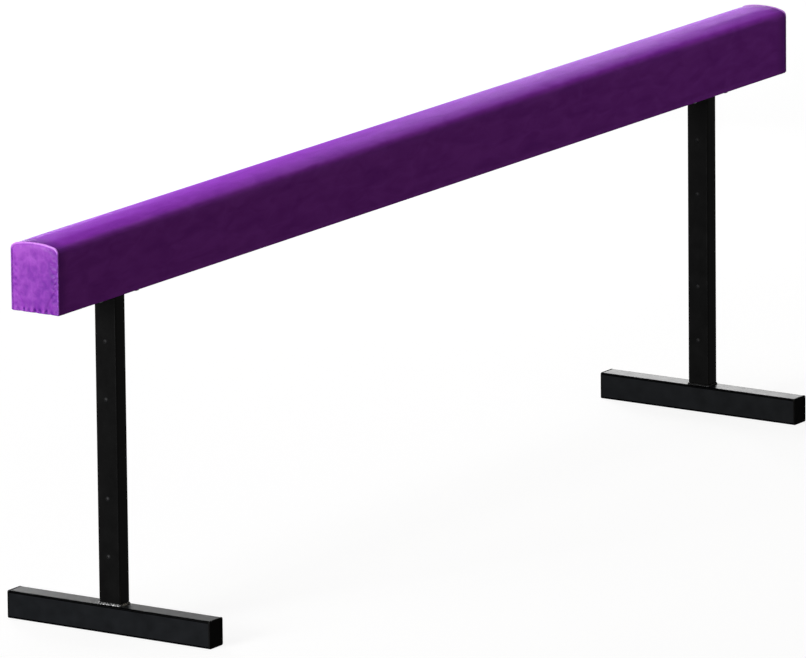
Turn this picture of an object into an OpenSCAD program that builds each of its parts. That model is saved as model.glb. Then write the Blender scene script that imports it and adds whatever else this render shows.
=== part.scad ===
// Low training balance beam: a padded, fabric-covered box beam on two bolted T-shaped legs.
// X runs along the beam, Y across it and Z up. The origin is on the floor under the middle.

/* [Beam] */
// Overall length of the padded beam
beam_l = 2400; // [2200:50:3000]
// Overall width of the padded beam
beam_w = 100; // [96:1:112]
// Overall height of the padded beam at the crown
beam_h = 125; // [115:1:140]
// Height of the beam's underside above the floor
under_h = 615; // [560:5:800]
// Radius of the crown across the top
crown_r = 180; // [150:10:400]
// Radius of the two padded shoulders
shoulder_r = 12; // [9:1:16]

/* [Cover and foam] */
// Thickness of the cover fabric
cover_t = 1.2; // [0.8:0.1:1.5]
// Thickness of the foam under the crown
top_foam_t = 12; // [10:1:16]
// Thickness of the foam on the sides and ends
side_foam_t = 5; // [4:0.5:6]
// Thickness of the piping round each end
piping_t = 4; // [3:0.5:5]
// Width of the bare board left between the two folded laps
lap_gap = 44; // [42:1:46]
// Spacing of the staples along each lap
staple_pitch = 120; // [100:10:200]

/* [Timber core] */
// Thickness of the core's boards
board_t = 15; // [12:1:16]
// Length of the block above each leg
leg_block_l = 180; // [170:5:220]
// Length of the block in each end
end_block_l = 30; // [20:5:40]
// Thickness of each inner rib
rib_t = 18; // [12:1:24]
// Number of screws along each edge of a board
screws_per_edge = 8; // [4:1:12]

/* [Legs] */
// Distance from the middle of the beam to each leg
leg_x = 975; // [850:5:990]
// Width of the post tube across the beam
post_y = 45; // [43:1:48]
// Depth of the post tube along the beam
post_x = 30; // [28:1:30]
// Wall of every tube
wall = 2; // [1.5:0.1:2.5]
// Overall length of a foot
foot_l = 430; // [360:10:560]
// Height of the foot tube
foot_h = 50; // [40:5:60]
// Depth of the foot tube along the beam
foot_x = 40; // [40:1:50]
// Length of the stub tubes inside each post
stub_l = 220; // [215:1:240]
// Radius of the weld beads
weld_r = 4.5; // [3.5:0.5:4.5]

/* [Mounting plate] */
// Length of the plate along the beam
plate_l = 150; // [140:5:170]
// Width of the plate across the beam
plate_w = 70; // [60:2:76]
// Thickness of the plate
plate_t = 5; // [4:0.5:6]
// Distance between the bolts along the beam
bolt_span_x = 110; // [100:2:116]
// Distance between the bolts across the beam
bolt_span_y = 30; // [26:1:30]

/* [Hidden] */
$fn = 48;
gap = 0.3;            // room round each soft layer
slip = 0.5;           // room between a post and its stub, each side
corner_r = 3;         // outer corner of the tubes
seam_in = 1;          // how far each end panel lies inside the piping
flap_l = 33;          // end panel folded under the beam
notch = 0.3;          // room between a lap's cut end and the flap
staple_w = 10;
staple_wire = 1.2;
staple_crown = 0.6;
staple_leg = 6;
wood_screw_r = 2;
wood_screw_l = 40;
screw_head_r = 4;
screw_head_h = 3;
hole_room = 0.05;     // room round each fastener in its hole
bolt_r = 4;
bolt_l = 25;
bolt_af = 13;
bolt_head_h = 5.3;
washer_r = 8;
washer_t = 1.6;
insert_r = 6;
insert_l = 18;
plate_corner_r = 6;
clamp_r = 2.5;
clamp_l = 12;
clamp_head_r = 4.75;
clamp_head_h = 2.7;
clamp_low = 87;       // first clamp screw, from the end of its stub
clamp_high = 191;     // second clamp screw
plug_flange = 3;
plug_depth = 16;
plug_wall = 2.5;
rib_count = 3;
flap_staples = 3;

top_z = under_h + beam_h;
half_l = beam_l / 2;
seam_x = half_l - piping_t;
panel_x = half_l - seam_in - cover_t;
core_end = panel_x - side_foam_t - 2 * gap;
core_l = 2 * core_end;
core_w = beam_w - 2 * (cover_t + side_foam_t + 2 * gap);
core_low = under_h + cover_t;
core_high = top_z - cover_t - top_foam_t - 2 * gap;
cavity_w = core_w - 2 * board_t;
cavity_low = core_low + board_t;
cavity_high = core_high - board_t;
cavity_h = cavity_high - cavity_low;
board_edge_y = core_w / 2 - board_t / 2;
flap_start = half_l - seam_in - flap_l;
flap_w = beam_w - 2 * piping_t;
staple_y = lap_gap / 2 + 8;
staple_half = staple_pitch * floor((flap_start - 20) / staple_pitch);
plate_low = under_h - plate_t;
stub_y = post_y - 2 * wall - 2 * slip;
stub_x = post_x - 2 * wall - 2 * slip;
post_low = foot_h + weld_r;
post_high = plate_low - weld_r;
clamp_zs = [foot_h + clamp_low, foot_h + clamp_high, plate_low - clamp_high, plate_low - clamp_low];
bolt_under = plate_low - washer_t;

BEAM_NODES = ["cover_wrap", "end_panel_left", "end_panel_right", "end_piping_left", "end_piping_right",
  "lap_staples", "flap_staples", "top_foam", "side_foam_front", "side_foam_back", "end_foam_left",
  "end_foam_right", "core_top_board", "core_bottom_board", "core_side_board_front",
  "core_side_board_back", "core_end_block_left", "core_end_block_right", "core_leg_block_left",
  "core_leg_block_right", "core_ribs", "core_top_screws", "core_bottom_screws"];
LEG_PIECES = ["mounting_plate", "mounting_bolts", "washers", "threaded_inserts", "top_stub", "top_weld",
  "post_tube", "clamp_screws", "foot_stub", "foot_weld", "foot_tube", "foot_plug_front",
  "foot_plug_back"];

// ---------------------------------------------------------------- shared shapes

// Outline across the padded beam, shrunk by inset all round: flat sides, round shoulders, low crown.
module section(inset) {
  half = beam_w / 2 - inset;
  r = shoulder_r - inset;
  big = crown_r - inset;
  low = under_h + inset;
  centre_z = top_z - crown_r;
  shoulder_z = centre_z + sqrt(pow(big - r, 2) - pow(half - r, 2));
  tangent_y = (half - r) * big / (big - r);
  translate([-half, low]) square([2 * half, shoulder_z - low]);
  for (side = [-1, 1]) translate([side * (half - r), shoulder_z]) circle(r = r);
  intersection() {
    translate([0, centre_z]) circle(r = big, $fn = 360);
    translate([-tangent_y, low]) square([2 * tangent_y, beam_h]);
  }
}

// Stands a section in the YZ plane and extrudes it along X between x0 and x1.
module along_beam(x0, x1) {
  translate([x0, 0, 0]) rotate([90, 0, 90]) linear_extrude(height = x1 - x0) children();
}

module centred_box(x, y, low, high) {
  translate([-x / 2, -y / 2, low]) cube([x, y, high - low]);
}

module round_rect(x, y, r) {
  square([x - 2 * r, y], center = true);
  square([x, y - 2 * r], center = true);
  for (sx = [-1, 1], sy = [-1, 1]) translate([sx * (x / 2 - r), sy * (y / 2 - r)]) circle(r = r);
}

module tube_section(x, y) {
  difference() {
    round_rect(x, y, corner_r);
    round_rect(x - 2 * wall, y - 2 * wall, corner_r - wall / 2);
  }
}

module upright_tube(x, y, low, high) {
  translate([0, 0, low]) linear_extrude(height = high - low) tube_section(x, y);
}

// A piece drawn for the right (+X) end, or its mirror image at the left end.
module at_end(side) {
  mirror([side == "right" ? 0 : 1, 0, 0]) children();
}

module at_leg(side) {
  translate([side == "right" ? leg_x : -leg_x, 0, 0]) children();
}

// ---------------------------------------------------------------- cover

module cover_wrap() {
  color("indigo") difference() {
    along_beam(-seam_x, seam_x) difference() {
      section(0);
      section(cover_t);
    }
    centred_box(beam_l, lap_gap, under_h - 1, core_low + 1);
    for (side = ["left", "right"]) at_end(side)
      translate([flap_start - notch, -flap_w / 2 - notch, under_h - 1])
        cube([flap_l + 2, flap_w + 2 * notch, cover_t + 2]);
    lap_staple_places() staple_slots();
  }
}

// The panel closes the end inside the piping, and its lower edge folds under the core.
module end_panel(side) {
  at_end(side) color("mediumorchid") difference() {
    union() {
      along_beam(panel_x, panel_x + cover_t) section(piping_t);
      translate([panel_x, -flap_w / 2, under_h]) cube([cover_t, flap_w, 2 * piping_t]);
      translate([flap_start, -flap_w / 2, under_h]) cube([flap_l, flap_w, cover_t]);
    }
    flap_staple_places() staple_slots();
  }
}

module end_piping(side) {
  at_end(side) color("orchid") along_beam(seam_x, half_l) difference() {
    section(0);
    section(piping_t);
    translate([-flap_w / 2, under_h - 1]) square([flap_w, 2 * piping_t]);
  }
}

module staple() {
  translate([-staple_w / 2, -staple_wire / 2, -staple_crown]) cube([staple_w, staple_wire, staple_crown]);
  for (end = [-1, 1]) translate([end * (staple_w - staple_wire) / 2, 0, 0])
    centred_box(staple_wire, staple_wire, -staple_crown, staple_leg);
}

module staple_slots() {
  hole = staple_wire + 2 * hole_room;
  for (end = [-1, 1]) translate([end * (staple_w - staple_wire) / 2, 0, 0])
    centred_box(hole, hole, -1, staple_leg + hole_room);
}

module lap_staple_places() {
  for (x = [-staple_half:staple_pitch:staple_half], edge = [-1, 1])
    if (abs(abs(x) - leg_x) > plate_l / 2 + staple_w)
      translate([x, edge * staple_y, under_h]) children();
}

module flap_staple_places() {
  for (i = [0:flap_staples - 1])
    translate([flap_start + flap_l / 3, (i - (flap_staples - 1) / 2) * flap_w / flap_staples, under_h])
      rotate(90) children();
}

module lap_staples() {
  color("silver") lap_staple_places() staple();
}

module flap_staples() {
  for (side = ["left", "right"]) at_end(side) color("silver") flap_staple_places() staple();
}

// ---------------------------------------------------------------- foam

module top_foam() {
  color("lightyellow") intersection() {
    along_beam(-core_end, core_end) section(cover_t + gap);
    centred_box(core_l, beam_w, core_high + gap, top_z);
  }
}

module side_foam(edge) {
  color("lightyellow") translate([0, edge * (core_w / 2 + gap + side_foam_t / 2), 0])
    centred_box(core_l, side_foam_t, core_low + gap, core_high);
}

module end_foam(side) {
  at_end(side) color("lightyellow") along_beam(core_end + gap, core_end + gap + side_foam_t)
    section(piping_t + gap);
}

// ---------------------------------------------------------------- timber core

module wood_screw(room = 0) {
  translate([0, 0, -screw_head_h]) cylinder(h = screw_head_h, r1 = wood_screw_r + room, r2 = screw_head_r + room);
  translate([0, 0, -wood_screw_l]) cylinder(h = wood_screw_l, r = wood_screw_r + room);
}

module core_screw_places() {
  step = (core_l - end_block_l) / (screws_per_edge - 1);
  for (i = [0:screws_per_edge - 1], edge = [-1, 1])
    translate([(i - (screws_per_edge - 1) / 2) * step, edge * board_edge_y, 0]) children();
}

module top_screws(room = 0) {
  core_screw_places() translate([0, 0, core_high]) wood_screw(room);
}

module bottom_screws(room = 0) {
  core_screw_places() translate([0, 0, core_low]) mirror([0, 0, 1]) wood_screw(room);
}

module core_top_board() {
  color("burlywood") difference() {
    centred_box(core_l, core_w, cavity_high, core_high);
    top_screws(hole_room);
  }
}

module core_bottom_board() {
  color("burlywood") difference() {
    centred_box(core_l, core_w, core_low, cavity_low);
    bottom_screws(hole_room);
    lap_staple_places() staple_slots();
    for (side = ["left", "right"]) {
      at_end(side) flap_staple_places() staple_slots();
      at_leg(side) bolt_places() insert_hole();
    }
  }
}

module core_side_board(edge) {
  color("burlywood") difference() {
    translate([0, edge * board_edge_y, 0]) centred_box(core_l, board_t, cavity_low, cavity_high);
    top_screws(hole_room);
    bottom_screws(hole_room);
  }
}

module core_end_block(side) {
  at_end(side) color("tan") translate([core_end - end_block_l / 2, 0, 0])
    centred_box(end_block_l, cavity_w, cavity_low, cavity_high);
}

module core_leg_block(side) {
  at_leg(side) color("tan") difference() {
    centred_box(leg_block_l, cavity_w, cavity_low, cavity_high);
    bolt_places() insert_hole();
  }
}

module core_ribs() {
  step = 2 * leg_x / (rib_count + 1);
  for (i = [0:rib_count - 1]) color("tan") translate([(i - (rib_count - 1) / 2) * step, 0, 0])
    centred_box(rib_t, cavity_w, cavity_low, cavity_high);
}

module core_top_screws() {
  color("silver") top_screws();
}

module core_bottom_screws() {
  color("silver") bottom_screws();
}

// ---------------------------------------------------------------- plate and bolts

module bolt_places() {
  for (sx = [-1, 1], sy = [-1, 1]) translate([sx * bolt_span_x / 2, sy * bolt_span_y / 2, 0]) children();
}

module mounting_plate(side) {
  at_leg(side) color([0.06, 0.06, 0.06]) difference() {
    translate([0, 0, plate_low]) linear_extrude(height = plate_t) round_rect(plate_l, plate_w, plate_corner_r);
    bolt_places() translate([0, 0, plate_low - 1]) cylinder(h = plate_t + 2, r = bolt_r + slip);
  }
}

module mounting_bolts(side) {
  at_leg(side) color("silver") bolt_places() {
    translate([0, 0, bolt_under - bolt_head_h]) cylinder(h = bolt_head_h, r = bolt_af / sqrt(3), $fn = 6);
    translate([0, 0, bolt_under]) cylinder(h = bolt_l, r = bolt_r - 2 * hole_room);
  }
}

module washers(side) {
  at_leg(side) color("silver") bolt_places() translate([0, 0, bolt_under]) difference() {
    cylinder(h = washer_t, r = washer_r);
    translate([0, 0, -1]) cylinder(h = washer_t + 2, r = bolt_r + 4 * hole_room);
  }
}

module threaded_inserts(side) {
  at_leg(side) color("goldenrod") bolt_places() translate([0, 0, core_low]) difference() {
    cylinder(h = insert_l, r = insert_r);
    translate([0, 0, -1]) cylinder(h = insert_l + 2, r = bolt_r);
  }
}

module insert_hole() {
  translate([0, 0, core_low - 1]) cylinder(h = insert_l + 1 + 2 * slip, r = insert_r + hole_room);
}

// ---------------------------------------------------------------- legs

// Fillet weld round a stub where it stands on a face at z = 0.
module weld_ring() {
  difference() {
    union() {
      for (edge = [-1, 1]) {
        translate([0, edge * stub_y / 2, 0]) rotate([0, 90, 0])
          cylinder(h = stub_x, r = weld_r, center = true);
        translate([edge * stub_x / 2, 0, 0]) rotate([90, 0, 0])
          cylinder(h = stub_y, r = weld_r, center = true);
        for (end = [-1, 1]) translate([edge * stub_x / 2, end * stub_y / 2, 0]) sphere(r = weld_r);
      }
    }
    centred_box(stub_x, stub_y, -2 * weld_r, 2 * weld_r);
    centred_box(4 * post_x, 4 * post_y, -2 * weld_r, 0);
  }
}

module top_stub(side) {
  at_leg(side) color("dimgray") difference() {
    upright_tube(stub_x, stub_y, plate_low - stub_l, plate_low);
    clamp_holes(clamp_r - hole_room);
  }
}

module foot_stub(side) {
  at_leg(side) color("dimgray") difference() {
    upright_tube(stub_x, stub_y, foot_h, foot_h + stub_l);
    clamp_holes(clamp_r - hole_room);
  }
}

module top_weld(side) {
  at_leg(side) color([0.1, 0.1, 0.1]) translate([0, 0, plate_low]) mirror([0, 0, 1]) weld_ring();
}

module foot_weld(side) {
  at_leg(side) color([0.1, 0.1, 0.1]) translate([0, 0, foot_h]) weld_ring();
}

module clamp_holes(r) {
  for (z = clamp_zs) translate([-post_x / 2 - 1, 0, z]) rotate([0, 90, 0]) cylinder(h = clamp_l, r = r);
}

module post_tube(side) {
  at_leg(side) color([0.06, 0.06, 0.06]) difference() {
    upright_tube(post_x, post_y, post_low, post_high);
    clamp_holes(clamp_r + 4 * hole_room);
  }
}

// Button-head screws that clamp the post to its two stubs.
module clamp_screws(side) {
  dome_r = (clamp_head_r * clamp_head_r + clamp_head_h * clamp_head_h) / (2 * clamp_head_h);
  at_leg(side) color("black") for (z = clamp_zs) translate([-post_x / 2, 0, z]) rotate([0, -90, 0]) {
    difference() {
      intersection() {
        cylinder(h = clamp_head_h, r = clamp_head_r);
        translate([0, 0, clamp_head_h - dome_r]) sphere(r = dome_r);
      }
      translate([0, 0, clamp_head_h / 3]) cylinder(h = clamp_head_h, r = clamp_head_r / 3, $fn = 6);
    }
    translate([0, 0, -clamp_l]) cylinder(h = clamp_l, r = clamp_r - 2 * hole_room);
  }
}

module foot_tube(side) {
  tube_l = foot_l - 2 * plug_flange;
  at_leg(side) color([0.08, 0.08, 0.08]) translate([0, tube_l / 2, foot_h / 2]) rotate([90, 0, 0])
    linear_extrude(height = tube_l) tube_section(foot_x, foot_h);
}

// Plastic plug: a flange over the tube's end and a hollow spigot inside it.
module foot_plug(side, end) {
  tube_end = foot_l / 2 - plug_flange;
  inner = wall + slip;
  at_leg(side) color([0.04, 0.04, 0.04]) mirror([0, end == "front" ? 1 : 0, 0])
    translate([0, tube_end, foot_h / 2]) rotate([-90, 0, 0]) {
      linear_extrude(height = plug_flange) round_rect(foot_x, foot_h, corner_r);
      translate([0, 0, -plug_depth]) linear_extrude(height = plug_depth) difference() {
        square([foot_x - 2 * inner, foot_h - 2 * inner], center = true);
        square([foot_x - 2 * inner - 2 * plug_wall, foot_h - 2 * inner - 2 * plug_wall], center = true);
      }
    }
}

// ---------------------------------------------------------------- what is drawn

cover_wrap();
end_panel("left");  // end_panel_left
end_panel("right");  // end_panel_right
end_piping("left");  // end_piping_left
end_piping("right");  // end_piping_right
lap_staples();
flap_staples();
top_foam();
side_foam(-1);  // side_foam_front
side_foam(1);  // side_foam_back
end_foam("left");  // end_foam_left
end_foam("right");  // end_foam_right
core_top_board();
core_bottom_board();
core_side_board(-1);  // core_side_board_front
core_side_board(1);  // core_side_board_back
core_end_block("left");  // core_end_block_left
core_end_block("right");  // core_end_block_right
core_leg_block("left");  // core_leg_block_left
core_leg_block("right");  // core_leg_block_right
core_ribs();
core_top_screws();
core_bottom_screws();
for (side = ["left", "right"]) {
  mounting_plate(side);
  mounting_bolts(side);
  washers(side);
  threaded_inserts(side);
  top_stub(side);
  top_weld(side);
  post_tube(side);
  clamp_screws(side);
  foot_stub(side);
  foot_weld(side);
  foot_tube(side);
  foot_plug(side, "front");
  foot_plug(side, "back");
}
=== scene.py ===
import bmesh
import bpy
from math import asin, cos, exp, pi, radians, sin, sqrt
from mathutils import Matrix, Vector, noise


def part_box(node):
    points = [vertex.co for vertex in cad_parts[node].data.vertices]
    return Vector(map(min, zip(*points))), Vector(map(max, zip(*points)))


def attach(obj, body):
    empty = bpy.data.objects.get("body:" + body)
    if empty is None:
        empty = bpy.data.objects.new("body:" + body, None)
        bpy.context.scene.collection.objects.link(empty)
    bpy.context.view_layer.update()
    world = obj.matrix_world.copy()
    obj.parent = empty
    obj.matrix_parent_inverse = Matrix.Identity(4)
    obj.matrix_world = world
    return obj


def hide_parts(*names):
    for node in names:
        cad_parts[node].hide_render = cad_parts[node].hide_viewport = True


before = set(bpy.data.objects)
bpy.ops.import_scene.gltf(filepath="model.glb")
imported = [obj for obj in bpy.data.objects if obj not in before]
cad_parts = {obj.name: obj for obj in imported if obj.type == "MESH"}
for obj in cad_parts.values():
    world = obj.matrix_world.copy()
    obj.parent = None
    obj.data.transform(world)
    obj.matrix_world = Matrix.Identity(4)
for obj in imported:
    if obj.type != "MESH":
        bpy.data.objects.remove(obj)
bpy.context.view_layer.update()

# ---------------------------------------------------------------- camera
# A long lens a good way off, to the left of the beam's near end and a little above it, so that the
# top, the left end and the long front side all show.
CAMERA_DISTANCE = 20.78
CAMERA_LENS = 512.4
CAMERA_AIM = Vector((-0.0150, 0.0229, 0.3498))
camera_yaw = radians(33.395)
camera_pitch = radians(12.977)
camera_roll = radians(-0.58)
ahead = Vector((cos(camera_yaw) * cos(camera_pitch), sin(camera_yaw) * cos(camera_pitch), -sin(camera_pitch)))
level_right = Vector((sin(camera_yaw), -cos(camera_yaw), 0))
level_up = level_right.cross(ahead)
camera_right = cos(camera_roll) * level_right + sin(camera_roll) * level_up
camera_up = cos(camera_roll) * level_up - sin(camera_roll) * level_right
camera_data = bpy.data.cameras.new("camera")
camera_data.sensor_width = 36
camera_data.lens = CAMERA_LENS
camera_data.clip_end = 400
camera = bpy.data.objects.new("camera", camera_data)
bpy.context.scene.collection.objects.link(camera)
turn = Matrix((camera_right, camera_up, -ahead)).transposed().to_4x4()
camera.matrix_world = Matrix.Translation(CAMERA_AIM - CAMERA_DISTANCE * ahead) @ turn
bpy.context.scene.camera = camera

# ---------------------------------------------------------------- studio
# A plain white floor and backdrop that glow softly, so they stay white and only a faint shadow of the
# legs shows. They throw no light back: softboxes and a faint even fill light the beam.
bpy.context.scene.view_settings.view_transform = "Standard"
STAGE_SIZE = 240
LIT_MIDDLE = Vector((0, 0, 0.6))
FLOOR_GLOW = 0.86
BACKDROP_GLOW = 1.0
EVEN_FILL = 0.05


def stage_surface(name, bm, glow):
    """A matt white surface that glows by itself and neither lights nor shades the part."""
    mesh = bpy.data.meshes.new(name)
    bm.to_mesh(mesh)
    bm.free()
    surface = bpy.data.objects.new(name, mesh)
    bpy.context.scene.collection.objects.link(surface)
    white = bpy.data.materials.new(name)
    white.use_nodes = True
    shader = white.node_tree.nodes["Principled BSDF"]
    shader.inputs["Base Color"].default_value = (0.2, 0.2, 0.2, 1)
    shader.inputs["Roughness"].default_value = 1.0
    shader.inputs["Specular IOR Level"].default_value = 0.0
    shader.inputs["Emission Color"].default_value = (1, 1, 1, 1)
    shader.inputs["Emission Strength"].default_value = glow
    mesh.materials.append(white)
    surface.visible_diffuse = False
    surface.visible_glossy = False
    surface.visible_shadow = False


floor_bm = bmesh.new()
bmesh.ops.create_grid(floor_bm, x_segments=1, y_segments=1, size=STAGE_SIZE / 2)
stage_surface("floor", floor_bm, FLOOR_GLOW)
backdrop_bm = bmesh.new()
bmesh.ops.create_icosphere(backdrop_bm, subdivisions=4, radius=STAGE_SIZE / 2)
bmesh.ops.reverse_faces(backdrop_bm, faces=backdrop_bm.faces)
stage_surface("backdrop", backdrop_bm, BACKDROP_GLOW)


def softbox(name, place, size, watts, colour=(1, 1, 1)):
    """A square light that faces the middle of the beam and stays out of sight."""
    light = bpy.data.lights.new(name, "AREA")
    light.shape = "SQUARE"
    light.size = size
    light.energy = watts
    light.color = colour
    lamp = bpy.data.objects.new(name, light)
    bpy.context.scene.collection.objects.link(lamp)
    lamp.location = place
    lamp.rotation_euler = (LIT_MIDDLE - Vector(place)).to_track_quat("-Z", "Y").to_euler()
    lamp.visible_camera = False


softbox("left_light", (-7.27, 1.28, 1.90), 2.6, 388)
softbox("near_light", (-3.20, 0.90, 2.20), 0.9, 18)
softbox("back_light", (4.24, 6.05, 1.90), 2.6, 322)
softbox("far_light", (6.30, 3.30, 1.65), 2.2, 22)
softbox("middle_light", (2.20, 2.60, 1.60), 0.9, 2.0)
softbox("far_top_light", (1.25, 0.15, 1.90), 0.9, 4.0)
softbox("far_small_light", (3.00, 1.50, 1.08), 0.9, 7)
softbox("far_side_light", (2.60, -1.60, 0.90), 0.9, 2.0)
softbox("top_light", (0.26, 0.00, 8.10), 2.6, 83)
softbox("front_fill", (0.00, -7.24, 2.54), 2.6, 48, (1.0, 0.87, 0.61))
world = bpy.data.worlds.new("studio")
world.use_nodes = True
world.node_tree.nodes["Background"].inputs["Color"].default_value = (1, 1, 1, 1)
world.node_tree.nodes["Background"].inputs["Strength"].default_value = EVEN_FILL
bpy.context.scene.world = world

# ---------------------------------------------------------------- timber core
# A long box of 15 mm plywood boards with softwood blocks and ribs inside, glued and screwed. Only a
# strip of the bottom board shows, between the folded laps of the cover.


def new_material(name, colour, roughness, metallic=0.0, **sockets):
    """A plain material; any other shader socket is set by its own name, with _ for a space."""
    material = bpy.data.materials.new(name)
    material.use_nodes = True
    shader = material.node_tree.nodes["Principled BSDF"]
    shader.inputs["Base Color"].default_value = (*colour, 1)
    shader.inputs["Roughness"].default_value = roughness
    shader.inputs["Metallic"].default_value = metallic
    for socket, value in sockets.items():
        shader.inputs[socket.replace("_", " ")].default_value = value
    return material


def place_on(material):
    """The material's Object coordinates, from one node that all its patterns share."""
    place = material.node_tree.nodes.get("place") or material.node_tree.nodes.new("ShaderNodeTexCoord")
    place.name = "place"
    return place.outputs["Object"]


def pattern(material, scale, stretch=(1, 1, 1), detail=3.0, distortion=0.0):
    """A noise over the material, its scale in cells to the metre."""
    nodes, links = material.node_tree.nodes, material.node_tree.links
    mapping = nodes.new("ShaderNodeMapping")
    mapping.inputs["Scale"].default_value = stretch
    texture = nodes.new("ShaderNodeTexNoise")
    texture.inputs["Scale"].default_value = scale
    texture.inputs["Detail"].default_value = detail
    texture.inputs["Distortion"].default_value = distortion
    links.new(place_on(material), mapping.inputs["Vector"])
    links.new(mapping.outputs["Vector"], texture.inputs["Vector"])
    return texture.outputs["Fac"]


def colour_from(material, factor, stops):
    """Colours read off a ramp of (position, colour) stops."""
    ramp = material.node_tree.nodes.new("ShaderNodeValToRGB")
    ramp.color_ramp.elements[0].position = stops[0][0]
    ramp.color_ramp.elements[0].color = (*stops[0][1], 1)
    ramp.color_ramp.elements[1].position = stops[-1][0]
    ramp.color_ramp.elements[1].color = (*stops[-1][1], 1)
    for position, colour in stops[1:-1]:
        ramp.color_ramp.elements.new(position).color = (*colour, 1)
    material.node_tree.links.new(factor, ramp.inputs["Fac"])
    return ramp.outputs["Color"]


def into_shader(material, socket, value):
    """Drives one socket of the material's shader."""
    material.node_tree.links.new(value, material.node_tree.nodes["Principled BSDF"].inputs[socket])


def relief(material, height, depth, under=None):
    """Fine bumps of a given depth, on top of any bumps made before."""
    nodes, links = material.node_tree.nodes, material.node_tree.links
    bump = nodes.new("ShaderNodeBump")
    bump.inputs["Strength"].default_value = 1.0
    bump.inputs["Distance"].default_value = depth
    links.new(height, bump.inputs["Height"])
    if under is not None:
        links.new(under, bump.inputs["Normal"])
    into_shader(material, "Normal", bump.outputs["Normal"])
    return bump.outputs["Normal"]


def dress(material, *names):
    """Gives a material to nodes that are shown as the CAD made them."""
    for name in names:
        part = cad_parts[name]
        part.data.materials.clear()
        part.data.materials.append(material)


plywood = new_material("birch_plywood", (0.6, 0.42, 0.25), 0.7)
ply_grain = pattern(plywood, 60, (0.06, 1, 1), detail=6, distortion=0.6)
into_shader(plywood, "Base Color", colour_from(
    plywood, ply_grain, [(0.3, (0.42, 0.26, 0.14)), (0.5, (0.60, 0.42, 0.25)), (0.72, (0.70, 0.53, 0.34))]))
relief(plywood, pattern(plywood, 500, (0.05, 1, 1)), 0.0003)
dress(plywood, "core_top_board", "core_bottom_board", "core_side_board_front", "core_side_board_back")
softwood = new_material("sawn_softwood", (0.66, 0.47, 0.27), 0.75)
soft_grain = pattern(softwood, 35, (0.08, 1, 1), detail=5, distortion=1.2)
into_shader(softwood, "Base Color", colour_from(
    softwood, soft_grain, [(0.35, (0.45, 0.27, 0.12)), (0.65, (0.72, 0.54, 0.33))]))
relief(softwood, soft_grain, 0.0004)
dress(softwood, "core_end_block_left", "core_end_block_right", "core_leg_block_left",
      "core_leg_block_right", "core_ribs")

# ---------------------------------------------------------------- screws, bolts and inserts
# Zinc-plated wood screws hold the box together and zinc-plated staples hold the folded cloth. M8 bolts
# and washers, zinc-plated too, go up through each mounting plate into brass threaded inserts in the core.


def spread(material, value, low, high, smooth=False, start=0.0, end=1.0):
    """Maps a value that runs from start to end onto low to high."""
    remap = material.node_tree.nodes.new("ShaderNodeMapRange")
    remap.interpolation_type = "SMOOTHSTEP" if smooth else "LINEAR"
    for socket, number in (("From Min", start), ("From Max", end), ("To Min", low), ("To Max", high)):
        remap.inputs[socket].default_value = number
    material.node_tree.links.new(value, remap.inputs["Value"])
    return remap.outputs["Result"]


def roughness_from(material, factor, low, high):
    """Gloss that varies with a pattern."""
    into_shader(material, "Roughness", spread(material, factor, low, high))


zinc = new_material("bright_zinc", (0.62, 0.63, 0.65), 0.32, 1.0)
zinc_bloom = pattern(zinc, 90, detail=4)
into_shader(zinc, "Base Color", colour_from(
    zinc, zinc_bloom, [(0.3, (0.50, 0.52, 0.56)), (0.7, (0.72, 0.72, 0.72))]))
roughness_from(zinc, zinc_bloom, 0.22, 0.42)
relief(zinc, pattern(zinc, 2500), 0.00005)
dress(zinc, "core_top_screws", "core_bottom_screws", "lap_staples", "flap_staples")
brass = new_material("turned_brass", (0.72, 0.53, 0.22), 0.3, 1.0)
relief(brass, pattern(brass, 1600, (0.2, 0.2, 3)), 0.0001)
for leg in ("left", "right"):
    dress(zinc, leg + "_mounting_bolts", leg + "_washers")
    dress(brass, leg + "_threaded_inserts")

# ---------------------------------------------------------------- foam
# Cream closed-cell foam sheet glued to the boards: thick on top, thin on the sides and ends. The cover
# hides all of it.
foam = new_material("cream_foam", (0.83, 0.78, 0.62), 0.9)
foam_cells = pattern(foam, 900, detail=2)
into_shader(foam, "Base Color", colour_from(
    foam, foam_cells, [(0.35, (0.74, 0.69, 0.53)), (0.6, (0.86, 0.82, 0.67))]))
relief(foam, foam_cells, 0.0006)
dress(foam, "side_foam_front", "side_foam_back")
COVER_THICK = 0.0012
STRETCH_CELLS = (8, 6, 12, 3, 3)  # crown, shoulder, side, fold and lap
COVER_SWELL = 0.0007
SEAM_TUCK = 0.0014
SEAM_ROUND = 0.003
END_DIP = 0.0007
END_DIP_RUN = 0.035
CROWN_RADIUS = 0.180
CROWN_POWER = 2.6
SHOULDER_RADIUS = 0.012
FOLD_RADIUS = 0.0016
LAP_GAP = 0.044
cover_low, cover_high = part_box("cover_wrap")
crown_top = cover_high.z
underside = cover_low.z
half_width = cover_high.y
seam_x = cover_high.x


def around(inset):
    """Lengths of the outline's stretches from the crown's middle to the lap's edge, and its corners."""
    crown, shoulder = CROWN_RADIUS - inset, SHOULDER_RADIUS - inset
    tilt = asin((half_width - SHOULDER_RADIUS) / (crown - shoulder))
    shoulder_z = crown_top - CROWN_RADIUS + (crown - shoulder) * cos(tilt)
    side = shoulder_z - underside - inset - FOLD_RADIUS
    lap = half_width - inset - FOLD_RADIUS - LAP_GAP / 2
    lengths = [crown * tilt, shoulder * (pi / 2 - tilt), side, FOLD_RADIUS * pi / 2, lap]
    return crown, shoulder, tilt, shoulder_z, lengths


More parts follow.
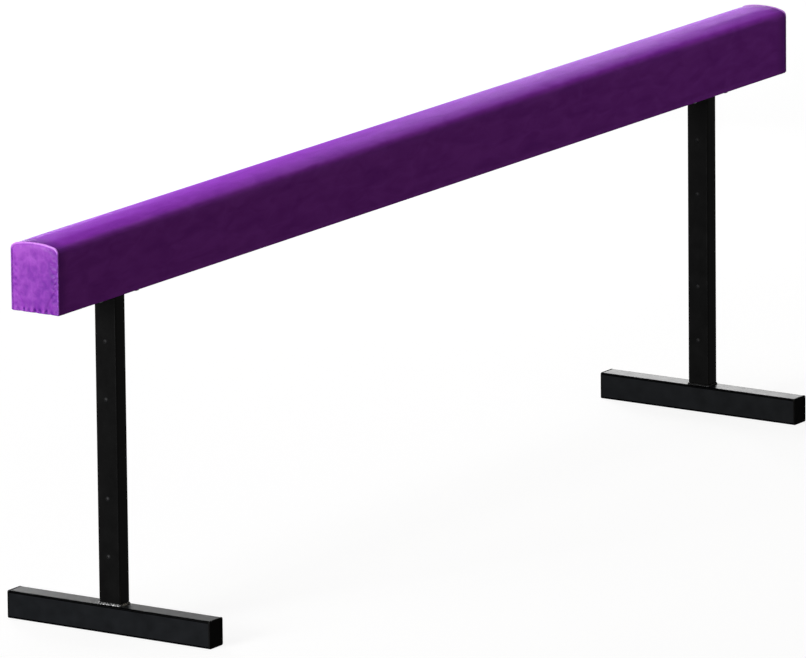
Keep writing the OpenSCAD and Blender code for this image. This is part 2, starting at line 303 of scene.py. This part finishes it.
def on_outline(share, stretch, inset):
    """The point (y, z) a share of the way along one stretch of the half outline on the +Y side."""
    crown, shoulder, tilt, shoulder_z, lengths = around(inset)
    edge_y, low_z = half_width - inset, underside + inset
    if stretch == 0:
        y = crown * sin(tilt * share)
        sag = crown * (1 - cos(tilt))
        return y, crown_top - inset - sag * share ** CROWN_POWER
    if stretch == 1:
        angle = tilt + (pi / 2 - tilt) * share
        return half_width - SHOULDER_RADIUS + shoulder * sin(angle), shoulder_z + shoulder * cos(angle)
    if stretch == 2:
        return edge_y, shoulder_z - lengths[2] * share
    if stretch == 3:
        angle = pi / 2 * share
        return edge_y - FOLD_RADIUS * (1 - cos(angle)), low_z + FOLD_RADIUS * (1 - sin(angle))
    return edge_y - FOLD_RADIUS - lengths[4] * share, low_z


def stretch_at(run, lengths, last):
    """On which stretch of the outline a run from the crown's middle ends, and how far along it."""
    left, stretch = abs(run), 0
    while stretch < last and left > lengths[stretch]:
        left -= lengths[stretch]
        stretch += 1
    return left, stretch


def wrapped(step, along, inset):
    """Where a sheet's signed row lands, wrapped over the beam; it dips a little towards each end seam."""
    left, stretch = stretch_at(step, STRETCH_CELLS, 4)
    share = left / STRETCH_CELLS[stretch]
    to_seam = seam_x - abs(along)
    tuck = SEAM_TUCK * max(0.0, 1 - to_seam / SEAM_ROUND) ** 2
    dip = END_DIP * max(0.0, 1 - to_seam / END_DIP_RUN) ** 2 if stretch < 2 else 0.0
    if stretch == 1:
        dip *= 1 - share
    y, z = on_outline(share, stretch, inset + tuck if stretch < 3 else 0.0)
    z += tuck if stretch >= 3 else -dip
    return Vector((along, y if step >= 0 else -y, z)), stretch


def closer_at_ends(share):
    """Moves evenly spaced shares from -1 to 1 so that they stand closer near both ends."""
    return 1.25 * share - 0.25 * share ** 5


def sheet_mesh(cells_along, cells_across):
    """A flat grid whose vertices come with their column and row, ready to be wrapped."""
    bm = bmesh.new()
    bmesh.ops.create_grid(bm, x_segments=cells_along, y_segments=cells_across, size=1)
    columns = {v: round((v.co.x + 1) / 2 * cells_along) for v in bm.verts}
    rows = {v: round((v.co.y + 1) / 2 * cells_across) for v in bm.verts}
    return bm, columns, rows


def close_up(bm):
    """Joins a wrapped sheet's meeting edges, caps its ends and turns its faces outwards."""
    bmesh.ops.remove_doubles(bm, verts=bm.verts, dist=0.00001)
    bmesh.ops.holes_fill(bm, edges=[e for e in bm.edges if e.is_boundary], sides=0)
    bmesh.ops.recalc_face_normals(bm, faces=bm.faces)


def finish_piece(bm, name, material, smooth=True):
    """Turns a finished bmesh into a piece of the model."""
    for face in bm.faces:
        face.smooth = smooth
    mesh = bpy.data.meshes.new(name)
    bm.to_mesh(mesh)
    bm.free()
    mesh.materials.append(material)
    piece = bpy.data.objects.new(name, mesh)
    bpy.context.scene.collection.objects.link(piece)
    return piece


FOAM_INSET = COVER_SWELL + COVER_THICK + 0.0001
FOAM_ROWS = STRETCH_CELLS[0] + STRETCH_CELLS[1]
FOAM_CELLS = 90
foam_low, foam_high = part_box("top_foam")
bm, columns, rows = sheet_mesh(FOAM_CELLS, 2 * FOAM_ROWS + 1)
for vertex in bm.verts:
    t = 2 * columns[vertex] / FOAM_CELLS - 1
    step = rows[vertex] - FOAM_ROWS if rows[vertex] <= 2 * FOAM_ROWS else -FOAM_ROWS
    place, stretch = wrapped(step, foam_high.x * closer_at_ends(t), FOAM_INSET)
    vertex.co = Vector((place.x, place.y, max(place.z, foam_low.z)))
close_up(bm)
top_pad = finish_piece(bm, "top_pad", foam, smooth=False)
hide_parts("top_foam")
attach(top_pad, "root")
END_PAD_INSET = 0.0042
END_PAD_RIM = 0.0015
END_PAD_LIFT = 0.0005
END_PAD_FACE = 0.97
END_PAD_CELLS = 96
for end, side in (("left", -1), ("right", 1)):
    pad_low, pad_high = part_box("end_foam_" + end)
    inner_x, outer_x = sorted((pad_low.x, pad_high.x), key=abs)
    pad_low_z = pad_low.z + END_PAD_LIFT
    lengths = around(END_PAD_INSET)[4]
    half_run = sum(lengths[:3])
    rim_x = outer_x - side * END_PAD_RIM
    rings = ((inner_x, 0), (inner_x, 1), (rim_x, 1), (outer_x, END_PAD_FACE), (outer_x, 0))
    bm, columns, rows = sheet_mesh(END_PAD_CELLS, len(rings) - 1)
    for vertex in bm.verts:
        run = half_run * (2 * columns[vertex] / END_PAD_CELLS - 1)
        left, stretch = stretch_at(run, lengths, 2)
        y, z = on_outline(min(1.0, left / lengths[stretch]), stretch, END_PAD_INSET)
        x, reach = rings[rows[vertex]]
        middle_z = (pad_low_z + crown_top) / 2
        z = middle_z + reach * (max(z, pad_low_z) - middle_z)
        vertex.co = Vector((x, reach * (y if run >= 0 else -y), z))
    close_up(bm)
    pad = finish_piece(bm, "end_pad_" + end, foam, smooth=False)
    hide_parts("end_foam_" + end)
    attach(pad, "root")

# ---------------------------------------------------------------- cover
# One sheet of purple synthetic suede, pulled over the foam from below one side to below the other. It
# is stretched tight, folded under in two flat laps and stapled, and its ends are sewn to the piping.
CLOTH_FRAMES = 20
CLOTH_MASS = 0.25
CLOTH_BENDING = 0.4


def axes_of(material):
    """The X, Y and Z of each point of the material, as separate outputs."""
    axes = material.node_tree.nodes.new("ShaderNodeSeparateXYZ")
    material.node_tree.links.new(place_on(material), axes.inputs["Vector"])
    return axes.outputs


def maths(material, operation, *terms, clamp=False):
    """One Math node; each term is a number or another node's output."""
    step = material.node_tree.nodes.new("ShaderNodeMath")
    step.operation = operation
    step.use_clamp = clamp
    for socket, term in zip(step.inputs, terms):
        if isinstance(term, (int, float)):
            socket.default_value = term
        else:
            material.node_tree.links.new(term, socket)
    return step.outputs["Value"]


def numbers_of(bm, vertices):
    """The numbers these vertices will have in the finished mesh."""
    bm.verts.index_update()
    return [vertex.index for vertex in vertices]


def settle(piece, held, pressure, slack, cap, stiffness):
    """Lets the cloth swell and settle, never moving inwards from where it starts, while the vertices in held
    stay.
    """
    mesh = piece.data
    group = piece.vertex_groups.new(name="held")
    group.add(held, 1.0, "REPLACE")
    start = [v.co.copy() for v in mesh.vertices]
    outward = [v.normal.copy() for v in mesh.vertices]
    cloth = piece.modifiers.new("cloth", "CLOTH")
    cloth.settings.quality = 5
    cloth.settings.mass = CLOTH_MASS
    cloth.settings.tension_stiffness = stiffness
    cloth.settings.compression_stiffness = stiffness
    cloth.settings.shear_stiffness = stiffness / 3
    cloth.settings.bending_stiffness = CLOTH_BENDING
    cloth.settings.vertex_group_mass = group.name
    cloth.settings.use_pressure = True
    cloth.settings.uniform_pressure_force = pressure
    cloth.settings.shrink_min = -slack
    cloth.settings.effector_weights.gravity = 0
    cloth.collision_settings.use_collision = False
    cloth.point_cache.frame_start = 1
    cloth.point_cache.frame_end = CLOTH_FRAMES
    for step in range(1, CLOTH_FRAMES + 1):
        bpy.context.scene.frame_set(step)
    settled = piece.evaluated_get(bpy.context.evaluated_depsgraph_get())
    for vertex, before, out, after in zip(mesh.vertices, start, outward, settled.data.vertices):
        move = after.co - before
        move -= min(0.0, move.dot(out)) * out
        vertex.co = before + move * min(1.0, cap / max(move.length, 1e-9))
    piece.modifiers.remove(cloth)
    piece.vertex_groups.remove(group)
    bpy.context.scene.frame_set(1)


def give_thickness(piece):
    """The cloth's thickness, laid inwards from its outer face."""
    wall = piece.modifiers.new("thickness", "SOLIDIFY")
    wall.thickness = COVER_THICK
    wall.offset = -1


half_cells = sum(STRETCH_CELLS)
CELLS_ALONG = 340
SEWN_WIDTH = 0.0005
SEAM_BAND = 0.004
SEAM_SHADE_AND_SHEEN = 0.45
flap_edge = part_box("end_panel_right")[0].x
shares = [2 * column / CELLS_ALONG - 1 for column in range(CELLS_ALONG + 1)]
column_x = [seam_x * closer_at_ends(t) for t in shares]
cut_column = min(range(CELLS_ALONG + 1), key=lambda column: abs(column_x[column] - flap_edge))
column_x[cut_column] = flap_edge
column_x[CELLS_ALONG - cut_column] = -flap_edge
bm, columns, rows = sheet_mesh(CELLS_ALONG, 2 * half_cells)
lap_rows = half_cells - STRETCH_CELLS[4]
# The laps stop where the end panels' flaps begin.
under_flap = [face for face in bm.faces if min(abs(rows[v] - half_cells) for v in face.verts) >= lap_rows
              and min(abs(column_x[columns[v]]) for v in face.verts) >= flap_edge]
bmesh.ops.delete(bm, geom=under_flap, context="FACES")
held = []
for vertex in bm.verts:
    along = column_x[columns[vertex]]
    vertex.co, stretch = wrapped(rows[vertex] - half_cells, along, COVER_SWELL)
    if stretch == 4 or seam_x - abs(along) < SEWN_WIDTH:
        held.append(vertex)
held = numbers_of(bm, held)
SUEDE_PURPLE = (0.28, 0.054, 0.453)
SUEDE_SHEEN = {"Sheen_Weight": 1.0, "Sheen_Roughness": 0.6, "Sheen_Tint": (0.294, 0.0, 0.617, 1)}
suede = new_material("purple_suede", SUEDE_PURPLE, 0.37, Specular_IOR_Level=0.02, **SUEDE_SHEEN)
nap = pattern(suede, 45, (0.35, 1, 1), detail=8, distortion=0.8)
# Over the last few centimetres to each end seam the colour is dimmed with painted shade, and the sheen is
# weaker there.
to_middle = maths(suede, "ABSOLUTE", axes_of(suede)["X"])
seam_shade_from, seam_shade_to = seam_x - END_DIP_RUN, seam_x - SEAM_BAND
seam_shade_and_sheen = spread(suede, to_middle, 1.0, SEAM_SHADE_AND_SHEEN, smooth=True, start=seam_shade_from, end=seam_shade_to)
into_shader(suede, "Sheen Weight", seam_shade_and_sheen)
nap_with_seam_shade = maths(suede, "MULTIPLY", nap, seam_shade_and_sheen)
into_shader(suede, "Base Color", colour_from(suede, nap_with_seam_shade, [
    (0.12, (0.19, 0.032, 0.36)), (0.38, (0.25, 0.045, 0.41)), (0.66, (0.315, 0.063, 0.505))]))
fibre = pattern(suede, 1400, (0.6, 1, 1), detail=2)
soft_waves = pattern(suede, 14, (0.5, 1, 1), detail=2)
relief(suede, fibre, 0.00018, relief(suede, soft_waves, 0.0012))
cover = finish_piece(bm, "cover", suede)
settle(cover, held, pressure=4.0, slack=0.002, cap=0.0006, stiffness=25)
give_thickness(cover)
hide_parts("cover_wrap")
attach(cover, "root")

# ---------------------------------------------------------------- end panels
# A panel of the same suede closes each end over a thin foam pad. It is cut a little full, so it puckers,
# and its lower edge is folded under the beam and held by three staples.
PANEL_INSET = 0.0036
PANEL_RIM = 0.012
PANEL_TUCK = 0.0008
PANEL_CELLS = (84, 96, 4, 8)
SIDE_SHADE_SLOPE = 2.7
PULL_DEPTH = 0.0022
PULL_WIDTH = 0.0045
PULL_HEIGHT = 0.011
TUCK_PITCH = 0.0118
TUCK_DEPTH = 0.0017
TUCK_OFFSET = 0.0048
TUCK_REACH = 0.0036
SIDE_OFFSET = 0.0065
SIDE_TUCK = 0.22
TUCK_SHADE = 0.75
RIDGE_LIGHT = 0.6
TUCK_WANDER = 1.5
TUCK_LEAST = 0.75
TUCK_UNEVEN = 0.9
FLAP_STAPLES = 3
FLAP_STAPLED_SHARE = 0.92
PANEL_SWELL = 0.0003
TOP_LIGHT_FROM = 0.6
TOP_PAINTED_LIGHT = 0.26
panel_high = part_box("end_panel_right")[1]
panel_face = panel_high.x + PANEL_SWELL
panel_half = half_width - PANEL_INSET
flap_staple_pitch = 2 * half_width * FLAP_STAPLED_SHARE / FLAP_STAPLES
cells_wide, panel_rows, fold_rows, flap_rows = PANEL_CELLS


def panel_top(y):
    """Height of the panel's upper edge, cut to the crown and the shoulders."""
    crown, shoulder, tilt, shoulder_z = around(PANEL_INSET)[:4]
    if abs(y) < crown * sin(tilt):
        return crown_top - CROWN_RADIUS + sqrt(crown ** 2 - y ** 2)
    reach = min(abs(y) - (half_width - SHOULDER_RADIUS), shoulder)
    return shoulder_z + sqrt(max(0.0, shoulder ** 2 - reach ** 2))


panel_suede = new_material("end_panel_suede", SUEDE_PURPLE, 0.4, Specular_IOR_Level=0.2, **SUEDE_SHEEN)
crush = pattern(panel_suede, 70, (1, 1, 0.9), detail=7, distortion=0.3)
panel_axes = axes_of(panel_suede)
# Painted light and shade: the panel's colour is lighter towards its top and towards +Y, and dimmer towards
# -Y, for how the light falls across the end. The mottling is the suede's own.
top_light_from = underside + TOP_LIGHT_FROM * (crown_top - underside)
top_painted_light = spread(panel_suede, panel_axes["Z"], 0.0, TOP_PAINTED_LIGHT, start=top_light_from, end=crown_top)
side_shade_and_mottle = maths(panel_suede, "MULTIPLY_ADD", panel_axes["Y"], SIDE_SHADE_SLOPE, crush)
# The fold attribute carries painted shade into the hollows of the tucks and a painted highlight onto the
# ridges between them.
tuck_shade_attribute = panel_suede.node_tree.nodes.new("ShaderNodeAttribute")
tuck_shade_attribute.attribute_name = "fold"
mottle_and_painted_light = maths(panel_suede, "ADD", side_shade_and_mottle, top_painted_light)
shaded = maths(panel_suede, "MULTIPLY_ADD", tuck_shade_attribute.outputs["Fac"], -TUCK_SHADE, mottle_and_painted_light)
into_shader(panel_suede, "Base Color", colour_from(panel_suede, shaded, [
    (0.0, (0.10, 0.014, 0.24)), (0.28, (0.19, 0.030, 0.37)),
    (0.50, (0.27, 0.050, 0.45)), (0.80, (0.40, 0.092, 0.59))]))
relief(panel_suede, pattern(panel_suede, 1400, detail=2), 0.0002, relief(panel_suede, crush, 0.0009))
for end, side in (("left", -1), ("right", 1)):
    bm, columns, rows = sheet_mesh(cells_wide, panel_rows + fold_rows + flap_rows)
    held = []
    for vertex in bm.verts:
        u = 2 * columns[vertex] / cells_wide - 1
        y = panel_half * sin(u * pi / 2)
        row = rows[vertex]
        low_z = underside + FOLD_RADIUS
        if row <= panel_rows:
            top = panel_top(y)
            z = top + (low_z - top) * row / panel_rows
            rim = min(top - z, panel_half - abs(y))
            x = panel_face - PANEL_TUCK * max(0.0, 1 - rim / PANEL_RIM) ** 2
        elif row <= panel_rows + fold_rows:
            angle = pi / 2 * (row - panel_rows) / fold_rows
            y *= 1 + ((half_width - FOLD_RADIUS) / panel_half - 1) * sin(angle)
            x = panel_face - FOLD_RADIUS * (1 - cos(angle))
            z = underside + FOLD_RADIUS * (1 - sin(angle))
        else:
            share = (row - panel_rows - fold_rows) / flap_rows
            y *= (half_width - FOLD_RADIUS) / panel_half
            x = panel_face - FOLD_RADIUS + (flap_edge - panel_face + FOLD_RADIUS) * share
            z = underside
        vertex.co = Vector((side * x, y, z))
        if row == 0 or abs(u) == 1 or row > panel_rows:  # sewn or folded under
            held.append(vertex)
    held = numbers_of(bm, held)
    bmesh.ops.recalc_face_normals(bm, faces=bm.faces)
    outer = max(bm.faces, key=lambda face: abs(face.calc_center_median().x))
    if outer.normal.x * side < 0:
        bmesh.ops.reverse_faces(bm, faces=bm.faces)
    panel = finish_piece(bm, "end_panel_" + end + "_cloth", panel_suede)
    settle(panel, held, pressure=4.0, slack=0.025, cap=0.0013, stiffness=12)
    fold = panel.data.attributes.new("fold", "FLOAT", "POINT")
    for vertex in panel.data.vertices:
        if abs(vertex.co.x) < panel_face - 2 * FOLD_RADIUS:
            continue
        y, rise, edge = vertex.co.y, vertex.co.z - underside, panel_half - abs(vertex.co.y)
        inside = max(0.0, 1 - (abs(y) / panel_half) ** 6)
        nearest = round(y / flap_staple_pitch) * flap_staple_pitch
        pull = PULL_DEPTH * exp(-((y - nearest) / PULL_WIDTH) ** 2 - rise / PULL_HEIGHT) * inside
        uneven = TUCK_LEAST + TUCK_UNEVEN * noise.noise(Vector((y * 90, side * 4, rise * 60)))
        low_tuck = uneven * sin(2 * pi * y / TUCK_PITCH + TUCK_WANDER * uneven)
        low_tuck *= exp(-((rise - TUCK_OFFSET) / TUCK_REACH) ** 2) * inside
        side_tuck = SIDE_TUCK * uneven * sin(2 * pi * rise / TUCK_PITCH + TUCK_WANDER * uneven)
        side_tuck *= exp(-((edge - SIDE_OFFSET) / TUCK_REACH) ** 2)
        tuck = max(low_tuck, side_tuck, key=abs)
        # fold: painted shade in the tuck hollows, a weaker painted highlight on the ridges.
        fold.data[vertex.index].value = min(1.0, max(tuck, RIDGE_LIGHT * tuck))
        vertex.co.x -= side * (pull + TUCK_DEPTH * max(tuck, 0.0))
    round_off = panel.modifiers.new("round_off", "SUBSURF")
    round_off.levels = 1
    round_off.render_levels = 1
    give_thickness(panel)
    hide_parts("end_panel_" + end)
    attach(panel, "root")

# ---------------------------------------------------------------- piping
# A cord in a strip of the same suede, sewn into the seam between the cover and each end panel. It runs
# up one side, over the crown and down the other, and closes to a point at the beam's lower edges.
PIPING_RADIUS = 0.0021
PIPING_CELLS = 300
PIPING_ROUND = 14
PIPING_CLOSE = 0.0018
PIPING_DROP = 0.0030
PIPING_PROUD = 0.001
PIPING_GATHER = 0.05
HIGHLIGHT_FROM = 0.022
HIGHLIGHT_FULL = 0.008
LOW_PAINTED_SHADE = -0.15
TOP_PAINTED_HIGHLIGHT = 0.35
# The piping's suede is painted lighter than the cover's, a painted highlight that is brightest towards the
# crown; lower down it is dimmed with painted shade.
piping = new_material("piping_suede", (0.42, 0.10, 0.70), 0.3, Specular_IOR_Level=1.0, **SUEDE_SHEEN)
piping_nap = pattern(piping, 120, detail=3)
piping_height = axes_of(piping)["Z"]
highlight_from, highlight_to = crown_top - HIGHLIGHT_FROM, crown_top - HIGHLIGHT_FULL
painted_highlight_and_shade = spread(piping, piping_height, LOW_PAINTED_SHADE, TOP_PAINTED_HIGHLIGHT, start=highlight_from, end=highlight_to)
into_shader(piping, "Base Color", colour_from(piping, maths(piping, "ADD", piping_nap, painted_highlight_and_shade), [
    (0.3, (0.24, 0.050, 0.42)), (0.55, (0.42, 0.10, 0.68)), (0.9, (0.74, 0.26, 0.95))]))
relief(piping, pattern(piping, 900, detail=2), 0.00008, relief(piping, piping_nap, 0.0003))
for end, side in (("left", -1), ("right", 1)):
    lengths = around(PIPING_RADIUS)[4]
    lengths[2] += PIPING_DROP
    half_run = sum(lengths[:3])
    bm, columns, rows = sheet_mesh(PIPING_CELLS, PIPING_ROUND)
    for vertex in bm.verts:
        run = half_run * (2 * columns[vertex] / PIPING_CELLS - 1)
        left, stretch = stretch_at(run, lengths, 2)
        share = left / lengths[stretch]
        y, z = on_outline(min(1.0, share), stretch, PIPING_RADIUS)
        if stretch == 2:
            z = around(PIPING_RADIUS)[3] - left
        if stretch == 0:
            out = Vector((0, y, z - crown_top + CROWN_RADIUS))
        elif stretch == 1:
            out = Vector((0, y - half_width + SHOULDER_RADIUS, z - around(0)[3]))
        else:
            out = Vector((0, 1, 0))
        out.normalize()
        out.y *= 1 if run >= 0 else -1
        centre = Vector((side * (panel_high.x + PIPING_PROUD - PIPING_RADIUS), y if run >= 0 else -y, z))
        round_angle = 2 * pi * rows[vertex] / PIPING_ROUND
        to_end = half_run - abs(run)
        thin = sqrt(max(0.0, 1 - max(0.0, 1 - to_end / PIPING_CLOSE) ** 2))
        gather = 1 + PIPING_GATHER * noise.noise(Vector((run * 260, side * 5, round_angle)))
        radius = PIPING_RADIUS * thin * gather
        vertex.co = centre + radius * (cos(round_angle) * out + sin(round_angle) * Vector((side, 0, 0)))
    bmesh.ops.remove_doubles(bm, verts=bm.verts, dist=0.00001)
    bmesh.ops.recalc_face_normals(bm, faces=bm.faces)
    cord = finish_piece(bm, "piping_" + end, piping)
    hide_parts("end_piping_" + end)
    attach(cord, "root")

# ---------------------------------------------------------------- black steel legs
# Rectangular steel tube in semi-gloss black powder coat: post, foot and the hidden stubs and plate. The
# coat has a fine orange-peel skin. Along the corners of the feet it is duller, and its colour is dimmed with
# painted shade.


def powder_coat(name, colour, specular, low_gloss, high_gloss):
    """Black powder coat with a dusty, slightly uneven gloss and a fine orange-peel skin."""
    coat = new_material(name, colour, 0.4, Specular_IOR_Level=specular)
    dust = pattern(coat, 40, detail=5)
    thin, thick = (tuple(share * value for value in colour) for share in (0.85, 1.25))
    into_shader(coat, "Base Color", colour_from(coat, dust, [(0.0, (0, 0, 0)), (0.35, thin), (0.7, thick)]))
    roughness_from(coat, dust, low_gloss, high_gloss)
    relief(coat, pattern(coat, 650, detail=1), 0.00006)
    return coat


post_coat = powder_coat("powder_coat_post", (0.0030, 0.0030, 0.0030), 0.50, 0.18, 0.25)
FOOT_SPECULAR = 0.40
foot_coat = powder_coat("powder_coat_foot", (0.0038, 0.0048, 0.0066), FOOT_SPECULAR, 0.28, 0.38)
CORNER = 0.0040
CORNER_SHADE_AND_GLOSS = 0.1
foot_low, foot_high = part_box("right_foot_tube")
foot_axes = axes_of(foot_coat)
near_corner = []
for axis, low, high in (("X", foot_low.x, foot_high.x), ("Z", foot_low.z, foot_high.z)):
    place = maths(foot_coat, "ABSOLUTE", foot_axes[axis])
    off_middle = maths(foot_coat, "ABSOLUTE", maths(foot_coat, "SUBTRACT", place, (low + high) / 2))
    near_corner.append(maths(foot_coat, "GREATER_THAN", off_middle, (high - low) / 2 - CORNER))
corner = maths(foot_coat, "MULTIPLY", *near_corner)
flat = spread(foot_coat, corner, 1.0, CORNER_SHADE_AND_GLOSS)
into_shader(foot_coat, "Specular IOR Level", maths(foot_coat, "MULTIPLY", flat, FOOT_SPECULAR))
foot_ramp = foot_coat.node_tree.nodes["Color Ramp"]
foot_dust = foot_ramp.inputs["Fac"].links[0].from_socket
# Painted shade: along the corners the dust ramp is pushed towards black.
corner_painted_shade = maths(foot_coat, "MULTIPLY", foot_dust, flat, clamp=True)
foot_coat.node_tree.links.new(corner_painted_shade, foot_ramp.inputs["Fac"])
plate_coat = powder_coat("powder_coat_plate", (0.006, 0.006, 0.006), 0.30, 0.36, 0.48)
for leg in ("left", "right"):
    dress(post_coat, leg + "_post_tube")
    dress(foot_coat, leg + "_foot_tube")
    dress(plate_coat, leg + "_mounting_plate", leg + "_top_stub", leg + "_foot_stub")

# ---------------------------------------------------------------- clamp screws
# Black oxide button-head screws, four up the left face of each post. They go through the post into the
# stub tubes and hold the leg together.
oxide = new_material("black_oxide", (0.010, 0.010, 0.011), 0.55, Specular_IOR_Level=0.35)
roughness_from(oxide, pattern(oxide, 300, detail=2), 0.50, 0.62)
relief(oxide, pattern(oxide, 2000), 0.00003)
for leg in ("left", "right"):
    dress(oxide, leg + "_clamp_screws")

# ---------------------------------------------------------------- weld beads
# A fillet weld runs round each stub tube where it stands on the foot or hangs from the plate. The bead is
# a row of overlapping ripples, and the post's end rests on it. The coat covers three of the beads fully;
# on the left foot's bead it is glossy and spotted with light grey.
BEAD_RADIUS = 0.0045
BEAD_CELLS = 480
BEAD_ROUND = 12
BEAD_ARC = 8
RIPPLE = 0.0036
RIPPLE_CHEVRON = 0.45
RIPPLE_DEPTH = 0.16
LUMP_DEPTH = 0.10
BEAD_LOWEST = 0.80
CORNER_TURN = 0.0035
CORNER_FULLNESS = 0.2
CORNERS = ((-1, -1), (1, -1), (1, 1), (-1, 1))
HEADINGS = ((1, 0), (0, 1), (-1, 0), (0, -1))
bead_gloss = new_material("coated_weld", (0.05, 0.05, 0.052), 0.24, 0.5)
bead_spots = pattern(bead_gloss, 260, detail=3)
into_shader(bead_gloss, "Base Color", colour_from(
    bead_gloss, bead_spots, [(0.42, (0.02, 0.02, 0.022)), (0.58, (0.45, 0.45, 0.45))]))
roughness_from(bead_gloss, bead_spots, 0.16, 0.34)
bead_coated = new_material("fully_coated_weld", (0.006, 0.006, 0.006), 0.34, Specular_IOR_Level=0.3)
roughness_from(bead_coated, pattern(bead_coated, 260, detail=3), 0.30, 0.42)


def bead_profile(along, row, up, seed):
    """How far out from the stub and how high above the plate or foot one row of the bead stands."""
    if row > BEAD_ARC:
        return 0.0, 0.0
    angle = pi / 2 * row / BEAD_ARC
    chevron = RIPPLE_CHEVRON * RIPPLE * sin(2 * angle)
    swing = abs(sin(pi * (along + chevron) / RIPPLE))
    lump = LUMP_DEPTH * noise.noise(Vector((along * 190, up * 3, seed)))
    radius = BEAD_RADIUS * min(1.0, BEAD_LOWEST + RIPPLE_DEPTH * swing + lump)
    return radius * cos(angle), radius * sin(angle)


def bead_course(along, sides, lengths):
    """The point of the stub's outline that far along, and the way out from it, slanted near a corner."""
    left, corner = stretch_at(along, lengths, 3)
    heading, start = HEADINGS[corner], CORNERS[corner]
    flat = Vector((start[0] * sides[0] + heading[0] * left, start[1] * sides[1] + heading[1] * left))
    slant = max(0.0, 1 - min(left, lengths[corner] - left) / CORNER_TURN)
    nearer = heading if left > lengths[corner] / 2 else (-heading[0], -heading[1])
    push = Vector((heading[1] + slant * nearer[0], -heading[0] + slant * nearer[1]))
    if slant > 0:
        push.normalize()
        push *= 1 + CORNER_FULLNESS * slant
    return flat, push


for leg, seed in (("left", 7), ("right", 11)):
    for joint, up in (("foot_weld", 1), ("top_weld", -1)):
        bead_coat = bead_gloss if (leg, joint) == ("left", "foot_weld") else bead_coated
        low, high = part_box(leg + "_" + joint)
        middle = (low + high) / 2
        sides = ((high.x - low.x) / 2 - BEAD_RADIUS, (high.y - low.y) / 2 - BEAD_RADIUS)
        lengths = (2 * sides[0], 2 * sides[1], 2 * sides[0], 2 * sides[1])
        face_z = low.z if up > 0 else high.z
        bm, columns, rows = sheet_mesh(BEAD_CELLS, BEAD_ROUND)
        for vertex in bm.verts:
            along = sum(lengths) * columns[vertex] / BEAD_CELLS
            across, rise = bead_profile(along, rows[vertex] % BEAD_ROUND, up, seed)
            flat, push = bead_course(along, sides, lengths)
            vertex.co = Vector((middle.x + flat.x + across * push.x, middle.y + flat.y + across * push.y,
                                face_z + up * rise))
        bmesh.ops.remove_doubles(bm, verts=bm.verts, dist=0.00002)
        bmesh.ops.recalc_face_normals(bm, faces=bm.faces)
        bead = finish_piece(bm, leg + "_" + joint + "_bead", bead_coat)
        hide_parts(leg + "_" + joint)
        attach(bead, "root")

# ---------------------------------------------------------------- foot plugs
# A black polyethylene plug in each end of each foot. Its flange covers the tube's cut end and stands a
# little proud of it, and its hollow spigot grips the inside of the tube.
PLUG_FLANGE = 0.003
PLUG_PROUD = 0.0005
PLUG_SPIGOT = 0.016
PLUG_CORNER = 0.0035
PLUG_EDGE = 0.0009
PLUG_RIM = 0.005
PLUG_DISH_SLOPE = 0.0008
PLUG_DISH_DEPTH = 0.0007
PLUG_STEP = 0.0031
PLUG_WALL = 0.0025
PLUG_FLOOR = 0.0005
plug_plastic = new_material("black_polyethylene", (0.003, 0.003, 0.003), 0.5, Specular_IOR_Level=0.12)
roughness_from(plug_plastic, pattern(plug_plastic, 200, detail=3), 0.42, 0.58)
relief(plug_plastic, pattern(plug_plastic, 1200, detail=1), 0.00006)
round_bevel = {"affect": "EDGES", "profile": 0.5, "material": -1}
for leg in ("left", "right"):
    for end, side in (("front", -1), ("back", 1)):
        node = leg + "_foot_plug_" + end
        low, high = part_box(node)
        foot_middle = (low.x + high.x) / 2
        outer_y = low.y if side < 0 else high.y
        half_wide = (high.x - low.x) / 2 + PLUG_PROUD
        tall = high.z - low.z + PLUG_PROUD
        bm = bmesh.new()
        bmesh.ops.create_cube(bm, size=1)
        bmesh.ops.scale(bm, vec=(2 * half_wide, PLUG_FLANGE, tall), verts=bm.verts)
        upright = [e for e in bm.edges if abs((e.verts[0].co - e.verts[1].co).y) > PLUG_FLANGE / 2]
        bmesh.ops.bevel(bm, geom=upright, offset=PLUG_CORNER, segments=6, **round_bevel)
        outer = min(bm.faces, key=lambda f: f.calc_center_median().y)
        inner = max(bm.faces, key=lambda f: f.calc_center_median().y)
        rim = list(outer.edges)
        bmesh.ops.inset_region(bm, faces=[outer], thickness=PLUG_RIM, depth=0)
        bmesh.ops.inset_region(bm, faces=[outer], thickness=PLUG_DISH_SLOPE, depth=-PLUG_DISH_DEPTH)
        bmesh.ops.bevel(bm, geom=rim, offset=PLUG_EDGE, segments=4, **round_bevel)
        bmesh.ops.inset_region(bm, faces=[inner], thickness=PLUG_STEP, depth=0)
        grown = bmesh.ops.extrude_face_region(bm, geom=[inner])["geom"]
        bmesh.ops.delete(bm, geom=[inner], context="FACES")
        tip = [g for g in grown if isinstance(g, bmesh.types.BMVert)]
        bmesh.ops.translate(bm, verts=tip, vec=(0, PLUG_SPIGOT, 0))
        cap = next(g for g in grown if isinstance(g, bmesh.types.BMFace))
        bmesh.ops.inset_region(bm, faces=[cap], thickness=PLUG_WALL, depth=0)
        hollow = bmesh.ops.extrude_face_region(bm, geom=[cap])["geom"]
        bmesh.ops.delete(bm, geom=[cap], context="FACES")
        floor_verts = [g for g in hollow if isinstance(g, bmesh.types.BMVert)]
        bmesh.ops.translate(bm, verts=floor_verts, vec=(0, PLUG_FLOOR - PLUG_SPIGOT, 0))
        bmesh.ops.recalc_face_normals(bm, faces=bm.faces)
        if side > 0:
            bmesh.ops.rotate(bm, verts=bm.verts, cent=(0, 0, 0), matrix=Matrix.Rotation(pi, 3, "Z"))
        place = Vector((foot_middle, outer_y - side * PLUG_FLANGE / 2, low.z + tall / 2))
        bmesh.ops.translate(bm, verts=bm.verts, vec=place)
        plug = finish_piece(bm, node + "_moulding", plug_plastic, smooth=False)
        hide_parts(node)
        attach(plug, "root")
